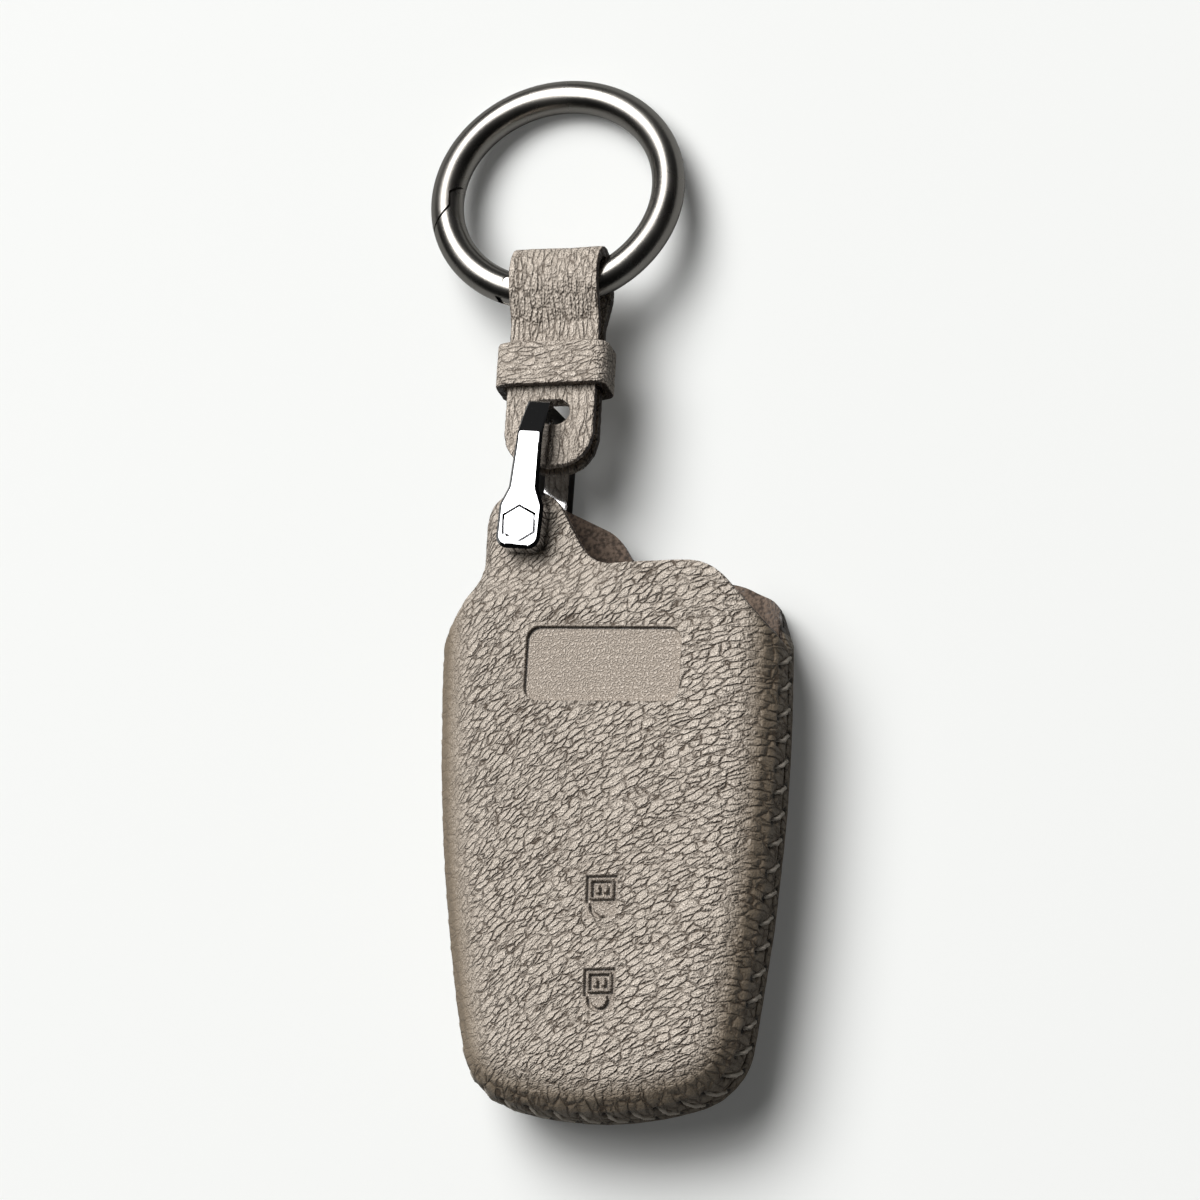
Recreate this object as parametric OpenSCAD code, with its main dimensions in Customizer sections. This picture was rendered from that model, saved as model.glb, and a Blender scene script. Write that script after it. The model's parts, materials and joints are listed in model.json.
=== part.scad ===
// Leather cover for a car key fob, with its shackle, strap and spring-gate ring.
// Origin: middle of the rear panel's flat back. +Y runs towards the ring, +Z out of the front face.
// The cover lies on its back, and the ring's far side lies on the same surface.

/* [Cover] */
// Length of the moulded body, without its ears
cover_l = 73.5; // [70:0.1:80]
// Thickness of the moulded body
cover_t = 19.5; // [18.8:0.1:21]
// Half width of the body at the bottom corners
foot_x = 19.2; // [17:0.1:20]
// Radius of the front panel's moulded edge
edge_r = 7; // [6:0.1:7.5]
// Radius of the rear panel's moulded edge
rear_edge_r = 9; // [8:0.1:9.5]
// Radius of the rounded bottom end
bottom_r = 42.5; // [36:0.5:48]
// Radius of the two bottom corners
corner_r = 9.8; // [9:0.1:11]
// Radius of the long bowed sides
side_r = 274; // [250:2:350]
// How far the sides lean at the bottom corners, in degrees
side_lean = 10.2; // [9:0.1:10.5]
// Height of the sewn seam above the back
seam_z = 11; // [10:0.1:12]
// Thickness of the leather
leather_t = 1.5; // [1.2:0.1:1.8]
// Thickness of the suede lining
lining_t = 0.5; // [0.3:0.1:0.7]
// Glue line between leather and lining
glue_gap = 0.05; // [0.02:0.01:0.1]

/* [Mouth and ears] */
// Height of the front panel's top edge along the body
mouth_y = 37.1; // [36:0.1:37.6]
// Height of the rear panel's top edge along the body
rear_mouth_y = 37.7; // [37.2:0.1:38.5]
// Height at the right side where the mouth meets the seam
mouth_side_y = 26.4; // [24:0.1:28]
// Height at the left side where the mouth meets the seam
left_side_y = 26.6; // [24:0.1:28]
// Sideways place of the pivot post
post_x = -12; // [-12.5:0.1:-11.5]
// Lengthwise place of the pivot post
post_y = 42.8; // [42.6:0.1:43.4]
// Radius of the front ear round the post
ear_r = 5.7; // [5:0.1:6]
// Where the ears start to bend towards each other
bend_start_y = 31; // [30:0.1:32]
// Where the ears run level again
bend_end_y = 39; // [38:0.1:39.1]
// Distance right of the post where the front ear's bend starts to fade out
front_fade_x = 7.2; // [7:0.1:8]
// Distance right of the post where the rear ear's bend starts to fade out
rear_fade_x = 11; // [10.5:0.1:12]
// Width over which the bend fades out
bend_fade = 8; // [7:0.1:9]

/* [Embossing] */
// Width of the smooth panel pressed into the front
window_w = 21.1; // [16:0.1:24]
// Height of the smooth panel
window_h = 10; // [7:0.1:11]
// Corner radius of the smooth panel
window_r = 1.8; // [0.5:0.1:2]
// Middle of the smooth panel along the body
window_y = 23.3; // [20:0.1:24]
// How far the smooth panel is turned clockwise, in degrees
window_turn = 2; // [0:0.5:3]
// Depth of every pressed mark
press_depth = 0.5; // [0.2:0.05:0.6]
// Width of the two button marks
mark_w = 4.2; // [3.5:0.1:5]
// Body height of a button mark
mark_h = 3.65; // [3:0.05:4]
// Middle of the upper button mark's body
mark_y = -7.1; // [-9:0.1:-5]
// Distance between the two button marks
mark_step = 12.4; // [10:0.1:14]
// Width of the pressed lines in a mark
mark_line = 0.5; // [0.3:0.05:0.6]

/* [Stitching] */
// Thickness of the sewing thread
thread_d = 0.7; // [0.5:0.05:0.9]
// Distance between stitches
stitch_pitch = 3.4; // [3:0.1:4]
// Height that one stitch spans over the seam
stitch_h = 4.4; // [3:0.1:4.6]
// Height of a stitch's middle above the seam
stitch_rise = 1; // [0.6:0.1:1.2]
// How far a stitch leans along the seam
stitch_lean = 2; // [0.4:0.1:2.2]

/* [Shackle] */
// Width of the shackle's head
head_w = 6.1; // [5.8:0.1:6.6]
// Distance from the post to the head's free end
head_end = 3.35; // [3.2:0.05:3.5]
// Width of the neck
neck_w = 4.1; // [3.6:0.1:4.6]
// Width of the bow at its outer end
bow_w = 3; // [2.6:0.1:3.1]
// Distance from the post to the outside of the bow
bow_end = 17.8; // [17.4:0.1:18.2]
// Thickness of the bow
bow_t = 2.2; // [2:0.1:2.4]
// Thickness of each leg
leg_t = 3.4; // [3:0.1:3.6]
// Clear gap between the two legs
leg_gap = 12.2; // [12:0.1:12.6]
// Height of the rear leg's back above the surface
shackle_lift = 0.3; // [0.1:0.1:0.4]
// How far the shackle leans to the right at rest, in degrees
shackle_lean = 5; // [0:0.5:8]
// Radius of the post's barrel
post_r = 1.8; // [1.6:0.05:1.9]
// Width across the flats of the post's six-sided head
hex_w = 4.2; // [3.9:0.1:4.4]
// Radius of the screw's thread
screw_r = 1.25; // [1:0.05:1.3]
// Radius of the screw's head
screw_head_r = 2.4; // [2.2:0.05:2.5]

/* [Strap] */
// Width of the strap
strap_w = 12.3; // [11.5:0.1:12.8]
// Thickness of the strap's leather
strap_t = 1.3; // [1.1:0.05:1.4]
// Gap between the strap's two layers
strap_gap = 1.6; // [1.3:0.1:1.8]
// Distance from the hole's middle to the strap's free ends
tail_l = 8.1; // [6:0.1:8.3]
// Distance from the hole's middle to where the layers part
flare_y = 12.6; // [12.4:0.1:13]
// Distance from the hole's middle to the axis of the loop round the ring
loop_y = 19; // [18.8:0.1:20]
// Inner radius of the loop round the ring
loop_r = 3.7; // [3.5:0.1:3.8]
// Radius of the two ends of the hole that the bow goes through
hole_r = 1.75; // [1.7:0.05:1.9]
// Half the distance between the hole's two ends
hole_play = 1; // [0.6:0.1:1.1]
// Corner radius of the strap's free ends
tail_r = 5; // [3:0.1:5.5]
// How far the strap slopes down towards the ring, in degrees
strap_slope = 7; // [5:0.5:8]
// Height of the strap's middle where the bow passes through it
strap_z = 12; // [11.8:0.1:12.2]

/* [Keeper] */
// Length of the keeper along the strap
keeper_l = 6.2; // [6:0.1:7.2]
// Distance from the hole's middle to the keeper's lower edge
keeper_y = 3.3; // [3.2:0.1:3.5]
// Thickness of the keeper's leather
keeper_t = 1.2; // [1:0.05:1.3]
// Clearance between keeper and strap
keeper_gap = 0.4; // [0.3:0.05:0.45]
// Inner corner radius of the keeper
keeper_r = 0.9; // [0.8:0.05:1]

/* [Ring] */
// Radius of the ring to the middle of its wire
ring_r = 15.5; // [15:0.1:16]
// Radius of the wire
wire_r = 2.25; // [2.1:0.05:2.3]
// Sideways place of the ring's middle from the strap's middle
ring_x = -1.8; // [-2.2:0.1:0]
// How far the ring's near side lies beyond the loop's axis, towards the strap
ring_seat = 1.2; // [1:0.05:1.3]
// Where the gate's hinge lies round the ring, in degrees
hinge_a = 250; // [248:1:251]
// Where the gate's inner tip lies round the ring, in degrees
tip_a = 169; // [166:0.5:171]
// Where the gate's step starts round the ring, in degrees
step_start_a = 180.5; // [179:0.5:182]
// Where the gate's step ends round the ring, in degrees
step_end_a = 189; // [188:0.5:191]
// Width of the cut between gate and ring
latch_gap = 0.25; // [0.15:0.05:0.3]
// Radius of the gate's hinge pin
pin_r = 0.6; // [0.5:0.05:0.7]
// Thickness of the tongue inside the gate's fork
tongue_t = 1.6; // [1.4:0.1:1.7]
// Clearance on each side of the tongue
fork_gap = 0.1; // [0.05:0.05:0.15]
// Radius of the gate's plunger
plunger_r = 0.7; // [0.6:0.05:0.75]
// Length of the gate's plunger
plunger_l = 2.2; // [2:0.1:2.6]
// Thickness of the gate spring's wire
spring_wire = 0.26; // [0.2:0.02:0.3]
// Turns of the gate spring
spring_turns = 7; // [5:1:8]

/* [Hidden] */
$fn = 64;

// One overrun for every cut
over = 1;
// Running clearance of a pin or post in its hole
run_gap = 0.07;
// Clearance between the shackle's legs and the ears
ear_gap = 0.2;

// Steps of the moulded surface
bottom_steps = 4;
corner_steps = 6;
side_steps = 16;
upper_steps = 18;
edge_steps = 4;
grid_cols = 12;
arc_steps = 8;
rod_sides = 16;
torus_sides = 96;

leather = "#a59a8e";
suede = "#453a30";
thread = "#9a8f83";
polished = "#3a3b3d";
satin = "#77726e";
steel = "#b9bbbd";

half_l = cover_l/2;
front_depth = cover_t - seam_z;
inner_skin = leather_t + glue_gap;
leg_low = shackle_lift + leg_t;
leg_high = leg_low + leg_gap;
shackle_top = leg_high + leg_t;
// How far each panel bends in at its ear, so that the legs clear it
front_bend = cover_t - (leg_high - ear_gap);
rear_bend = leg_low + ear_gap;

function polar(r, a) = [r*cos(a), r*sin(a)];
function unit(v) = v/norm(v);
function ease(t) = let (u = min(max(t, 0), 1)) u*u*(3 - 2*u);

// Arc that rounds corner b between a and c, each given as [x, y, radius]
function corner(a, b, c) = b[2] == 0 ? [[b.x, b.y]] :
    let (p = [b.x, b.y], u = unit([a.x, a.y] - p), w = unit([c.x, c.y] - p),
        half = acos(u*w)/2, mid = p + unit(u + w)*b[2]/sin(half),
        from = p + u*b[2]/tan(half) - mid, to = p + w*b[2]/tan(half) - mid,
        start = atan2(from.y, from.x), swing = atan2(from.x*to.y - from.y*to.x, from*to))
    [for (k = [0:arc_steps]) mid + polar(b[2], start + swing*k/arc_steps)];

// Closed outline with a radius at each corner
function rounded(v) = let (n = len(v))
    [for (i = [0:n - 1]) each corner(v[(i + n - 1)%n], v[i], v[(i + 1)%n])];

// A list of [x, y, radius] with its mirror image across x = 0 added in reverse order
function mirrored(v) = concat(v, [for (i = [len(v) - 1:-1:0]) [-v[i].x, v[i].y, v[i][2]]]);

// Plan of the moulded body: right half from the bottom's middle up past the mouth.
// Tangent arcs make the bottom, the corner and the bowed side. The mouth cuts the top away.
bottom_mid = [0, bottom_r - half_l];
corner_mid_x = foot_x - corner_r*cos(side_lean);
bottom_turn = asin(corner_mid_x/(bottom_r - corner_r));
corner_mid = bottom_mid + polar(bottom_r - corner_r, bottom_turn - 90);
side_mid = corner_mid + polar(corner_r - side_r, -side_lean);
side_x = side_mid.x + side_r;
shell_top = post_y + ear_r + edge_r + corner_r;
body_half = concat(
    [for (k = [0:bottom_steps - 1]) bottom_mid + polar(bottom_r, -90 + bottom_turn*k/bottom_steps)],
    [for (k = [0:corner_steps - 1]) corner_mid
        + polar(corner_r, -90 + bottom_turn + (90 - side_lean - bottom_turn)*k/corner_steps)],
    [for (k = [0:side_steps]) side_mid + polar(side_r, -side_lean*(1 - k/side_steps))],
    [for (k = [1:upper_steps - 1]) [side_x,
        side_mid.y + (shell_top - corner_r - side_mid.y)*k/upper_steps]],
    [for (k = [0:corner_steps]) [side_x - corner_r, shell_top - corner_r]
        + polar(corner_r, 90*k/corner_steps)],
    [[0, shell_top]]);
rows = len(body_half) - 1;
ring_n = 2*rows;

// Closed plan, counter-clockwise: points 0 to rows on the right, and their mirror images on the left
function plan_point(i) = i <= rows ? body_half[i]
    : let (p = body_half[ring_n - i]) [-p.x, p.y];
body_plan = [for (i = [0:ring_n - 1]) plan_point(i)];
body_normals = [for (i = [0:ring_n - 1])
    let (d = unit(body_plan[(i + 1)%ring_n] - body_plan[(i + ring_n - 1)%ring_n])) [d.y, -d.x]];

// Share of its bend that a panel has at a point: all of it at its ear, none further right
function bend(x, y, fade_x) = ease((y - bend_start_y)/(bend_end_y - bend_start_y))
    *(1 - ease((x - post_x - fade_x)/bend_fade));

// Section of one skin from the seam to the flat: [inset, height], for a skin s inside the outside
// of a panel with an edge of radius r
function section(depth, r, s) = concat([[s, 0]],
    [for (k = [0:edge_steps]) let (a = 90*k/edge_steps)
        [s + (r - s)*(1 - cos(a)), depth - r + (r - s)*sin(a)]]);
rings = edge_steps + 2;

function skin_points(depth, r, s, bent, fade_x) = let (sec = section(depth, r, s), flat = sec[rings - 1],
    edge = [for (i = [0:ring_n - 1]) body_plan[i] - body_normals[i]*flat[0]])
    concat(
        [for (k = [0:rings - 1], i = [0:ring_n - 1]) let (p = body_plan[i] - body_normals[i]*sec[k][0])
            [p.x, p.y, sec[k][1] - bent*bend(p.x, p.y, fade_x)]],
        [for (i = [1:rows - 1], j = [1:grid_cols - 1]) let (p = edge[i], q = edge[ring_n - i],
            x = p.x + (q.x - p.x)*j/grid_cols) [x, p.y, flat[1] - bent*bend(x, p.y, fade_x)]]);

// Index of a point of the flat: row i from the bottom, column j from right to left
function flat_index(i, j) = let (last = (rings - 1)*ring_n)
    i <= 0 ? last : i >= rows ? last + rows : j <= 0 ? last + i : j >= grid_cols ? last + ring_n - i
    : rings*ring_n + (i - 1)*(grid_cols - 1) + j - 1;
function flip(f, way) = way ? [for (k = [len(f) - 1:-1:0]) f[k]] : f;
function shifted(f, by) = [for (k = f) k + by];

function skin_faces(by, way) = concat(
    [for (k = [0:rings - 2], i = [0:ring_n - 1]) let (a = k*ring_n + i, b = k*ring_n + (i + 1)%ring_n)
        each [flip(shifted([a, a + ring_n, b], by), way), flip(shifted([b, a + ring_n, b + ring_n], by), way)]],
    [for (i = [1:rows - 2], j = [0:grid_cols - 1]) let (a = flat_index(i, j), b = flat_index(i, j + 1),
        c = flat_index(i + 1, j), d = flat_index(i + 1, j + 1))
        each [flip(shifted([a, b, c], by), !way), flip(shifted([b, d, c], by), !way)]],
    [for (i = [0, rows], j = [0:grid_cols - 1])
        let (row = i == 0 ? 1 : rows - 1, a = flat_index(row, j), b = flat_index(row, j + 1))
        flip(shifted([flat_index(i, 0), b, a], by), i == 0 ? !way : way)]);

// Half of the moulded body as a shell between two skins, open at the seam, with its flat upwards
module half_shell(depth, r, outside, inside, bent, fade_x) {
    outer = skin_points(depth, r, outside, bent, fade_x);
    inner = skin_points(depth, r, inside, bent, fade_x);
    n = len(outer);
    rim = [for (i = [0:ring_n - 1]) let (j = (i + 1)%ring_n) each [[i, j, n + i], [j, n + j, n + i]]];
    polyhedron(concat(outer, inner), concat(skin_faces(0, false), skin_faces(n, true), rim), convexity = 6);
}

// Height of the cutters, taller than any shell
cut_h = cover_t + 2*over;
// Half width of the cutters below the mouth
cut_margin = 8;
cut_x = side_x + cut_margin;

// Front mouth: from the right seam over the shoulder, the top edge and the ear to the left seam
shoulder_slope = 49;
shoulder_r = 7;
flank_slope = 62;
flank_r = 7;
left_slope = 57;
left_r = 9;
// How far the ear's left side leans in towards its top
ear_in = 0.5;
shoulder_x = side_x - (mouth_y - mouth_side_y)/tan(shoulder_slope);
ear_top_y = post_y + ear_r;
ear_tip_x = post_x + ear_r*tan(flank_slope/2);
ear_left_x = post_x - ear_r;
flank_x = ear_tip_x + (ear_top_y - mouth_y)/tan(flank_slope);
left_bend_y = left_side_y + (side_x + ear_left_x)*tan(left_slope);
front_plan = rounded([
    [cut_x, -half_l - over, 0],
    [cut_x, mouth_side_y - (cut_x - side_x)*tan(shoulder_slope), 0],
    [shoulder_x, mouth_y, shoulder_r],
    [flank_x, mouth_y, flank_r],
    [ear_tip_x, ear_top_y, ear_r],
    [ear_left_x + ear_in, ear_top_y, ear_r - ear_in],
    [ear_left_x, left_bend_y, left_r],
    [-cut_x, left_side_y - (cut_x - side_x)*tan(left_slope), 0],
    [-cut_x, -half_l - over, 0]]);

// Rear mouth: the same way round, with a wider ear and a higher, rounder shoulder
ear_step = 0.3;
rear_ear_r = ear_r + ear_step;
rear_ear_top_y = post_y + rear_ear_r;
rear_tip_r = 3;
rear_slope = 27;
// Place of the ear's right lobe from the post, and its radius
lobe_x = 10.4;
lobe_y = 1.1;
lobe_r = 6;
rear_lobe = [post_x + lobe_x, post_y + lobe_y];
rear_flank_slope = 60;
rear_flank_r = 4;
rear_top_r = 8;
rear_tip_x = rear_lobe.x - (rear_ear_top_y - rear_lobe.y)/tan(rear_slope);
rear_flank_x = rear_lobe.x + (rear_lobe.y - rear_mouth_y)/tan(rear_flank_slope);
rear_side_slope = 68;
rear_shoulder_in = 3.2;
rear_shoulder_r = 5;
rear_shoulder = [side_x - rear_shoulder_in, mouth_side_y + rear_shoulder_in*tan(rear_side_slope)];
rear_plan = rounded([
    [cut_x, -half_l - over, 0],
    [cut_x, mouth_side_y - (cut_x - side_x)*tan(rear_side_slope), 0],
    [rear_shoulder.x, rear_shoulder.y, rear_shoulder_r],
    [shoulder_x, rear_mouth_y, rear_top_r],
    [rear_flank_x, rear_mouth_y, rear_flank_r],
    [rear_lobe.x, rear_lobe.y, lobe_r],
    [rear_tip_x, rear_ear_top_y, rear_tip_r],
    [post_x - rear_ear_r + ear_in, rear_ear_top_y, rear_ear_r - ear_in],
    [post_x - rear_ear_r, left_bend_y, left_r],
    [-cut_x, left_side_y - (cut_x - side_x)*tan(left_slope), 0],
    [-cut_x, -half_l - over, 0]]);

module below_mouth(outline) {
    difference() {
        translate([0, 0, -over]) linear_extrude(cut_h) polygon(outline);
        translate([post_x, post_y, -2*over]) cylinder(r = post_r + run_gap, h = cut_h + 2*over);
    }
}

module front_half(outside, inside) {
    intersection() {
        translate([0, 0, seam_z]) half_shell(front_depth, edge_r, outside, inside, front_bend, front_fade_x);
        below_mouth(front_plan);
    }
}

module rear_half(outside, inside) {
    intersection() {
        translate([0, 0, seam_z]) mirror([0, 0, 1])
            half_shell(seam_z, rear_edge_r, outside, inside, rear_bend, rear_fade_x);
        below_mouth(rear_plan);
    }
}

// Outline of a rectangle centred on the origin, with round corners
function round_box(w, h, r) = rounded(mirrored([[w/2, -h/2, r], [w/2, h/2, r]]));

// One pressed button mark: a framed box with two bars in it and a bow below
mark_x = 0.7;
module mark(closed) {
    inner_w = mark_w - 2*mark_line;
    inner_h = mark_h - 2*mark_line;
    field_w = inner_w - mark_line;
    field_h = inner_h - mark_line;
    bow_out = inner_w/2;
    bow_in = bow_out - mark_line;
    difference() {
        square([mark_w, mark_h], center = true);
        square([inner_w, inner_h], center = true);
    }
    difference() {
        square([field_w, field_h], center = true);
        for (s = [-1, 1]) translate([s*field_w/5, 0]) square([field_w/5, field_h/2], center = true);
    }
    translate([0, -mark_h/2 - mark_line]) difference() {
        union() {
            circle(bow_out);
            translate([-bow_out, 0]) square([2*bow_out, mark_line]);
        }
        circle(bow_in);
        translate([-bow_in, 0]) square([2*bow_in, mark_line]);
        translate([-mark_w/2, mark_line]) square([mark_w, mark_w]);
        if (!closed) translate([0, -bow_in/2]) square([bow_out + over, bow_in + mark_line]);
    }
}

module front_panel() {
    color(leather) difference() {
        front_half(0, leather_t);
        translate([0, window_y, cover_t - press_depth]) rotate(-window_turn) linear_extrude(press_depth + over)
            polygon(round_box(window_w, window_h, window_r));
        for (k = [0, 1]) translate([mark_x, mark_y - k*mark_step, cover_t - press_depth])
            linear_extrude(press_depth + over) mark(k == 1);
    }
}

module rear_panel() {
    color(leather) rear_half(0, leather_t);
}

module front_lining() {
    color(suede) front_half(inner_skin, inner_skin + lining_t);
}

module rear_lining() {
    color(suede) rear_half(inner_skin, inner_skin + lining_t);
}

// Point of the seam at a distance from the bottom's middle, as [[x, y], angle of the outward normal]
turn = 180/PI;
bottom_len = bottom_r*bottom_turn/turn;
corner_len = corner_r*(90 - side_lean - bottom_turn)/turn;
seam_len = bottom_len + corner_len + side_r*(asin((mouth_side_y - side_mid.y)/side_r) + side_lean)/turn;
function seam_at(s) =
    s < bottom_len ? let (a = s/bottom_r*turn - 90) [bottom_mid + polar(bottom_r, a), a]
    : s < bottom_len + corner_len ?
        let (a = (s - bottom_len)/corner_r*turn - 90 + bottom_turn) [corner_mid + polar(corner_r, a), a]
    : let (a = (s - bottom_len - corner_len)/side_r*turn - side_lean) [side_mid + polar(side_r, a), a];

// A point just outside the leather, where the thread runs clear of the seam's curve
function thread_at(s, z) = let (p = seam_at(s), q = p[0] + polar(thread_d/2 + 2*glue_gap, p[1])) [q.x, q.y, z];

module rod(from, to, r) {
    d = to - from;
    translate(from) rotate([0, acos(d.z/norm(d)), atan2(d.y, d.x)]) cylinder(r = r, h = norm(d), $fn = rod_sides);
}

stitches = floor(seam_len/stitch_pitch);
module seam_thread() {
    step = seam_len/stitches;
    color(thread) for (side = [0, 1], k = [0:stitches - 1]) mirror([side, 0, 0]) {
        s = step*(k + 1/2);
        lean = stitch_lean/2*(side == 0 ? 1 : -1);
        middle = seam_z + stitch_rise;
        rod(thread_at(s - lean, middle + stitch_h/2), thread_at(s + lean, middle - stitch_h/2), thread_d/2);
    }
}

module at_post() {
    translate([post_x, post_y, 0]) rotate(-shackle_lean) children();
}

// The shackle's U, seen from the side as [lengthwise, height]
bow_facet = 3.3;
bow_corner_r = 0.8;
crease_d = 5.1;
crease_y = bow_end - crease_d;
inner_round = 1.4;
// Rounding of the bow's bar between the legs, so that the strap can turn on it
bar_round = 0.7;
bow_mid = bow_end - bow_t/2;
shackle_side = rounded([
    [-head_end, shackle_lift, 0],
    [crease_y, shackle_lift, 0],
    [bow_end, shackle_lift + bow_facet, bow_corner_r],
    [bow_end, shackle_top - bow_facet, bow_corner_r],
    [crease_y, shackle_top, 0],
    [-head_end, shackle_top, 0],
    [-head_end, leg_high, 0],
    [bow_end - bow_t, leg_high, inner_round],
    [bow_end - bow_t, leg_low, inner_round],
    [-head_end, leg_low, 0]]);

// The shackle's outline from the front, right half from the head's free end to the bow
head_corner_r = 1.7;
head_top = 2.6;
head_top_r = 0.9;
neck_start = 5;
neck_r = 1.2;
neck_taper = 0.3;
shackle_plan = rounded(mirrored([
    [head_w/2, -head_end, head_corner_r],
    [head_w/2, head_top, head_top_r],
    [neck_w/2, neck_start, neck_r],
    [neck_w/2 - neck_taper, crease_y, 0],
    [bow_w/2, bow_end, 0]]));

hex_sides = 6;
hex_turn = 180/hex_sides;
hex_r = hex_w/2/cos(hex_turn);
hex_depth = 1.5;
hex_gap = 0.25;
screw_head_t = 1.1;
barrel_low = shackle_lift + screw_head_t + run_gap;

module shackle() {
    color(polished) at_post() difference() {
        intersection() {
            translate([-head_w, 0, 0]) rotate([90, 0, 90]) linear_extrude(2*head_w) polygon(shackle_side);
            linear_extrude(cut_h) polygon(shackle_plan);
        }
        translate([0, 0, -over]) cylinder(r = post_r + run_gap, h = cut_h);
        translate([0, 0, -over]) cylinder(r = screw_head_r + run_gap, h = barrel_low + over);
        translate([0, 0, shackle_top - hex_depth - run_gap]) rotate(hex_turn + shackle_lean)
            cylinder(r = hex_r + hex_gap, h = cut_h, $fn = hex_sides);
        translate([0, bow_mid, leg_low + inner_round]) linear_extrude(leg_gap - 2*inner_round) difference() {
            square([2*bow_w, 2*bow_t], center = true);
            polygon(round_box(bow_w, bow_t, bar_round));
        }
    }
}

module shackle_post() {
    thread_l = leg_gap/2;
    color(polished) at_post() difference() {
        union() {
            translate([0, 0, barrel_low]) cylinder(r = post_r, h = shackle_top - hex_depth - barrel_low);
            translate([0, 0, shackle_top - hex_depth]) rotate(hex_turn + shackle_lean)
                cylinder(r = hex_r, h = hex_depth, $fn = hex_sides);
        }
        translate([0, 0, barrel_low - over]) cylinder(r = screw_r, h = thread_l + over);
    }
}

module shackle_screw() {
    slot_w = screw_head_r/4;
    color(polished) at_post() difference() {
        union() {
            translate([0, 0, shackle_lift]) cylinder(r = screw_head_r, h = screw_head_t);
            translate([0, 0, shackle_lift]) cylinder(r = screw_r, h = leg_gap/2);
        }
        translate([-screw_head_r - over, -slot_w/2, shackle_lift - over])
            cube([2*(screw_head_r + over), slot_w, screw_head_t/2 + over]);
    }
}

// Place of the bow's middle, which the strap swings about in the left end of its hole
bow_x = post_x + bow_mid*sin(shackle_lean);
bow_y = post_y + bow_mid*cos(shackle_lean);
module at_strap() {
    translate([bow_x + hole_play, bow_y, strap_z]) rotate([-strap_slope, 0, 0]) children();
}

// Side view of the strap's outside or inside, as [lengthwise, height]: two straight layers that
// part at the flare and run tangent to the loop round the ring
half_gap = strap_gap/2;
half_strap = half_gap + strap_t;
flare_d = norm([loop_y - flare_y, half_strap]);
flare_a = asin((loop_r + strap_t)/flare_d) - atan2(half_strap, loop_y - flare_y);
function strap_side(r, h) = let (kink = flare_y + (half_strap - h)*tan(flare_a/2), to = loop_y - r*sin(flare_a))
    [[-tail_l - over, -h], [kink, -h], [to, -r*cos(flare_a)], [to, r*cos(flare_a)], [kink, h], [-tail_l - over, h]];

module strap() {
    color(leather) difference() {
        at_strap() intersection() {
            rotate([90, 0, 90]) translate([0, 0, -strap_w/2]) linear_extrude(strap_w) difference() {
                union() {
                    polygon(strap_side(loop_r + strap_t, half_strap));
                    translate([loop_y, 0]) circle(loop_r + strap_t);
                }
                polygon(strap_side(loop_r, half_gap));
                translate([loop_y, 0]) circle(loop_r);
            }
            translate([0, 0, -strap_w]) linear_extrude(2*strap_w) union() {
                translate([-strap_w/2, tail_r - tail_l]) square([strap_w, loop_y + 2*strap_w]);
                translate([tail_r - strap_w/2, -tail_l]) square([strap_w - 2*tail_r, 2*tail_r]);
                for (s = [-1, 1]) translate([s*(strap_w/2 - tail_r), tail_r - tail_l]) circle(tail_r);
            }
        }
        for (k = [0, 2]) translate([bow_x + k*hole_play, bow_y, 0]) cylinder(r = hole_r, h = cut_h);
        translate([bow_x, bow_y - hole_r, 0]) cube([2*hole_play, 2*hole_r, cut_h]);
    }
}

module keeper() {
    in_w = strap_w + 2*keeper_gap;
    in_h = 2*(half_strap + keeper_gap);
    color(leather) at_strap() translate([0, keeper_y + keeper_l, 0]) rotate([90, 0, 0]) difference() {
        linear_extrude(keeper_l)
            polygon(round_box(in_w + 2*keeper_t, in_h + 2*keeper_t, keeper_r + keeper_t));
        translate([0, 0, -over]) linear_extrude(keeper_l + 2*over) polygon(round_box(in_w, in_h, keeper_r));
    }
}

// The ring hangs in the strap's loop and its far side lies on the surface
loop_at = [bow_x + hole_play, bow_y + loop_y*cos(strap_slope), strap_z - loop_y*sin(strap_slope)];
ring_slope = asin((loop_at.z - wire_r)/(2*ring_r - ring_seat));
ring_mid = loop_at + [ring_x, (ring_r - ring_seat)*cos(ring_slope), -(ring_r - ring_seat)*sin(ring_slope)];
module at_ring() {
    translate(ring_mid) rotate([-ring_slope, 0, 0]) children();
}

// The gate's share of the wire: a stepped cut at the latch, and a round knuckle at the hinge
ring_far = ring_r + wire_r + over;
ring_near = ring_r - wire_r - over;
step_drop = 0.9;
latch_flare = 12;
zone_steps = 9;
function gate_zone(gap) = let (back = gap/ring_r*turn, step_r = ring_r - step_drop + gap) concat(
    [polar(ring_far, step_end_a + latch_flare - back), polar(step_r, step_end_a - back),
        polar(step_r, step_start_a - back), polar(ring_near, tip_a - back)],
    [for (k = [1:zone_steps]) polar(ring_near, tip_a + (hinge_a - tip_a)*k/zone_steps)],
    [for (k = [0:zone_steps - 1]) polar(ring_far, hinge_a + (step_end_a + latch_flare - hinge_a)*k/zone_steps)]);

// The gate's bore runs from the hinge along the gate, turned in from the tangent
bore_turn = 12;
bore_off = 0.6;
bore_l = 8.4;
knuckle_gap = 0.15;
tongue_r = wire_r - 2*knuckle_gap;
tongue_flat = 1.8;
nose_gap = 0.02;
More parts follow.
